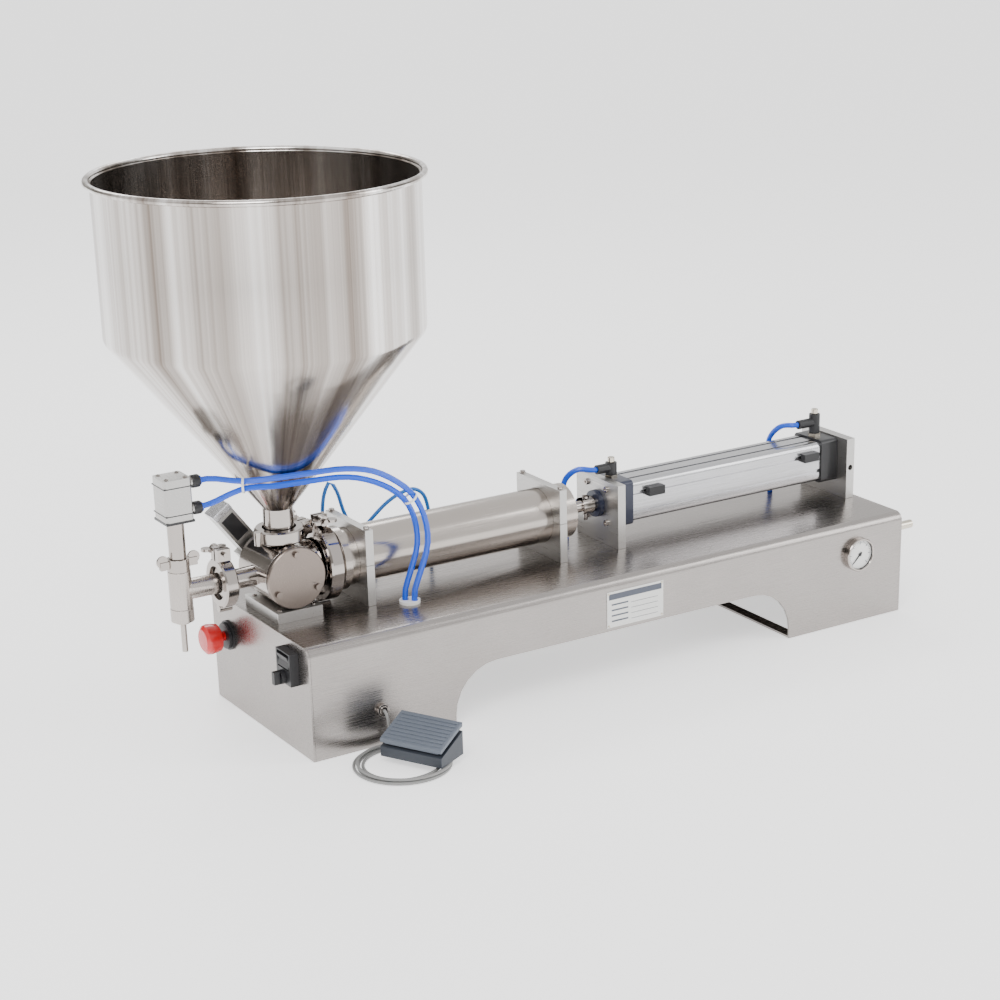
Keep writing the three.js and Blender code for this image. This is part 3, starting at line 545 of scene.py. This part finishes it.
# second actuator tube and cable ties on the bundled tubes
arc_points = [
    (183, 205, 199), (190, 205, 208), (205, 204, 222), (226, 203, 238), (246, 202, 247), (264, 201, 249),
    (277, 200, 240), (284, 199, 215), (285, 199, 180), (285, 199, 150), (285, 199, 145.5),
]
arc = hose("actuator_tube_second", arc_points, 2.5, teal)
TIES = [((-22, 100, 330.2), (1, -0.6, 0)), ((184, 66.5, 285), (0.55, 0, -0.83))]
band = [(9.2, -1.4), (9.9, -1.4), (9.9, 1.4), (9.2, 1.4)]
for i, (place, direction) in enumerate(TIES):
    tie = lathe(f"tube_tie_{i}", at(*place), direction, band, white, 24, closed=True)

# ribs across the treadle, following its slope
PEDAL = at(*PEDAL_PLACE)
RIB_SIZE = (79, 3.2, 1.8)
RIB_PITCH = 5.8
along = Vector((math.cos(PEDAL_YAW), math.sin(PEDAL_YAW), 0))
deep = Vector((-math.sin(PEDAL_YAW), math.cos(PEDAL_YAW), 0))
for i in range(8):
    depth = 5 + RIB_PITCH * i
    bm = bmesh.new()
    bmesh.ops.create_cube(bm, size=1)
    centre = PEDAL + (deep * depth + Vector((0, 0, 23.5 + TREADLE_SLOPE * depth))) * MM
    tilt = (deep + Vector((0, 0, TREADLE_SLOPE))).normalized()
    normal = along.cross(tilt)
    for vert in bm.verts:
        lengthwise = along * vert.co.x * RIB_SIZE[0]
        crosswise = tilt * vert.co.y * RIB_SIZE[1]
        upright = normal * vert.co.z * RIB_SIZE[2]
        vert.co = centre + (lengthwise + crosswise + upright) * MM
    rib = make(f"treadle_rib_{i}", bm, slate, "treadle")
    edge_bevel(rib, 0.5)

# silver speed-control screws and port nuts
PORT_NUT_Z = 229.3
port_nut = [(0, PORT_NUT_Z), (9.4, PORT_NUT_Z), (9.4, PORT_NUT_Z + 5), (0, PORT_NUT_Z + 5)]
for end, x, top in (("front", FRONT_PORT_X, 258), ("rear", REAR_PORT_X, 269)):
    knob = [(0, top - 6), (4.8, top - 6), (4.8, top - 0.6), (4.2, top + 0.1), (0, top + 0.1)]
    screw = lathe(f"speed_screw_{end}", at(x, AXIS_Y, 0), (0, 0, 1), knob, nickel, 24)
    nut = lathe(f"port_nut_{end}", at(x, AXIS_Y, 0), (0, 0, 1), port_nut, nickel, 6)

# push-in fittings, joint lines and corner screws of the nozzle's small cylinder
FITTING_X, COLLET_X = -73.5, -63
fitting_ring = [(6.6, 0), (7.6, 0), (8, 1), (8, 8.5), (7.2, 10), (6.6, 10)]
collet_ring = [(4.2, 0), (5.6, 0), (5.6, 1.6), (4.2, 1.6)]
for port, z in NOZZLE_PORTS:
    place = at(FITTING_X, NOZZLE_PORT_Y, z)
    fitting = lathe(f"nozzle_fitting_{port}", place, (1, 0, 0), fitting_ring, black, 32, closed=True)
    place = at(COLLET_X, NOZZLE_PORT_Y, z)
    collet = lathe(f"nozzle_collet_{port}", place, (1, 0, 0), collet_ring, blue, 32, closed=True)
# Each seam is a square band: a lathe of four sides, so its radius reaches the corners.
SEAM_INSIDE, SEAM_OUTSIDE = 17.7 * math.sqrt(2), 18.35 * math.sqrt(2)
for i, (low, high) in enumerate([(287.2, 290.2), (297.5, 298.6), (331.4, 332.5)]):
    band = [(SEAM_INSIDE, low), (SEAM_OUTSIDE, low), (SEAM_OUTSIDE, high), (SEAM_INSIDE, high)]
    place = at(NOZZLE_X, AXIS_Y, 0)
    seam = lathe(
        f"nozzle_cylinder_seam_{i}", place, (0, 0, 1), band, black_metal, 4, closed=True, phase=math.pi / 4
    )
for i, (dx, dy) in enumerate(four_around(12)):
    place = at(NOZZLE_X + dx, AXIS_Y + dy, NOZZLE_CYLINDER_TOP_Z)
    cap_screw(f"nozzle_cylinder_screw_{i}", place, (0, 0, 1), 2.6, 1.4)


# end caps and blank label of the valve actuator, in the actuator's own leaning frame
def on_actuator(x, y, z):
    """A machine point from one in the actuator's frame, where x runs down its length."""
    return (
        VALVE_X + x * math.cos(ACTUATOR_LEAN) + z * math.sin(ACTUATOR_LEAN),
        ACTUATOR_Y + y,
        VALVE_Z - x * math.sin(ACTUATOR_LEAN) + z * math.cos(ACTUATOR_LEAN),
    )


def leaning_block(name, low, high, mat, bevel):
    """A box between two points of the actuator's frame, with rounded edges."""
    bm = bmesh.new()
    bmesh.ops.create_cube(bm, size=1)
    for vert in bm.verts:
        local = [(low[i] + high[i]) / 2 + vert.co[i] * (high[i] - low[i]) for i in range(3)]
        vert.co = at(*on_actuator(*local))
    obj = make(name, bm, mat)
    edge_bevel(obj, bevel)
    return obj


CAP_REACH = 13.6
for end, start, stop in (("upper", -93, -84), ("lower", 41, 49)):
    low, high = (start, -CAP_REACH, -CAP_REACH), (stop, CAP_REACH, CAP_REACH)
    leaning_block(f"actuator_cap_{end}", low, high, bright, 1.2)
blank = leaning_block("actuator_label", (-80, -13.35, -9.5), (-46, 13.35, 9.5), black_metal, 0.3)

# collar of the stop button
collar_ring = [(17.2, 0.2), (19.2, 0.2), (19.2, 3), (17.2, 3)]
collar = lathe("stop_collar", at(0, STOP_Y, STOP_Z), (-1, 0, 0), collar_ring, black, 48, closed=True)

# ---------------------------------------------------------------- floor and light
floor_mesh = bpy.data.meshes.new("floor")
floor_mesh.from_pydata([(-12, -12, 0), (12, -12, 0), (12, 12, 0), (-12, 12, 0)], [], [(0, 1, 2, 3)])
floor = bpy.data.objects.new("floor", floor_mesh)
bpy.context.scene.collection.objects.link(floor)
floor.location.z = -0.0005
floor_look = material("floor", (0.94, 0.94, 0.94), 0.0, 0.55, bump=0.0, mottled=0.01, wear=0.02)
floor_shader = floor_look.node_tree.nodes["Principled BSDF"]
floor_shader.inputs["Emission Color"].default_value = (1, 1, 1, 1)
floor_shader.inputs["Emission Strength"].default_value = 0.9
floor_mesh.materials.append(floor_look)

world = bpy.data.worlds.new("studio")
bpy.context.scene.world = world
world.use_nodes = True


def studio_world():
    """A bright studio overhead, with darker walls low down that give polished steel its bands."""
    nodes, links = world.node_tree.nodes, world.node_tree.links
    coords = nodes.new("ShaderNodeTexCoord")
    parts = nodes.new("ShaderNodeSeparateXYZ")
    links.new(coords.outputs["Generated"], parts.inputs[0])
    turn = nodes.new("ShaderNodeMath")
    turn.operation = "ARCTAN2"
    links.new(parts.outputs["Y"], turn.inputs[0])
    links.new(parts.outputs["X"], turn.inputs[1])
    unit = nodes.new("ShaderNodeMapRange")
    unit.inputs["From Min"].default_value = -math.pi
    unit.inputs["From Max"].default_value = math.pi
    links.new(turn.outputs[0], unit.inputs["Value"])
    ramp = nodes.new("ShaderNodeValToRGB")
    walls = [
        (0.0, 0.8), (0.05, 0.55), (0.1, 0.13), (0.17, 0.1), (0.21, 0.22), (0.25, 0.75), (0.31, 1.0),
        (0.385, 1.0), (0.42, 0.32), (0.475, 0.12), (0.52, 0.2), (0.56, 0.9), (0.7, 0.95), (0.76, 0.3),
        (0.82, 0.16), (0.88, 0.6), (0.93, 1.0),
    ]
    elements = ramp.color_ramp.elements
    elements[0].position, elements[1].position = walls[0][0], walls[-1][0]
    for position, _ in walls[1:-1]:
        elements.new(position)
    for element, (_, value) in zip(elements, walls):
        warm = 1 - 0.16 * (1 - value)
        element.color = (value, value * (0.94 + 0.06 * value), value * warm, 1)
    links.new(unit.outputs["Result"], ramp.inputs["Fac"])
    height = nodes.new("ShaderNodeMapRange")
    height.interpolation_type = "SMOOTHSTEP"
    height.inputs["From Min"].default_value = 0.3
    height.inputs["From Max"].default_value = 0.7
    links.new(parts.outputs["Z"], height.inputs["Value"])
    sky = nodes.new("ShaderNodeMix")
    sky.data_type = "RGBA"
    sky.inputs["B"].default_value = (1, 1, 1, 1)
    links.new(height.outputs["Result"], sky.inputs["Factor"])
    links.new(ramp.outputs["Color"], sky.inputs["A"])
    links.new(sky.outputs["Result"], nodes["Background"].inputs["Color"])
    nodes["Background"].inputs["Strength"].default_value = 1.3


studio_world()


def softbox(name, place, target, size, power):
    """A rectangular area lamp turned towards a target."""
    data = bpy.data.lights.new(name, "AREA")
    data.shape = "RECTANGLE"
    data.size, data.size_y = size
    data.energy = power
    lamp = bpy.data.objects.new(name, data)
    bpy.context.scene.collection.objects.link(lamp)
    lamp.location = place
    lamp.rotation_euler = (Vector(target) - Vector(place)).to_track_quat("-Z", "Y").to_euler()


softbox("key", (-1.6, -1.6, 2.4), (-0.2, 0, 0.3), (1.4, 1.4), 45)
softbox("fill", (2.2, -1.8, 1.6), (0.1, 0, 0.2), (1.0, 2.0), 28)
softbox("rim", (0.2, 2.4, 2.2), (0, 0, 0.3), (2.4, 0.8), 30)
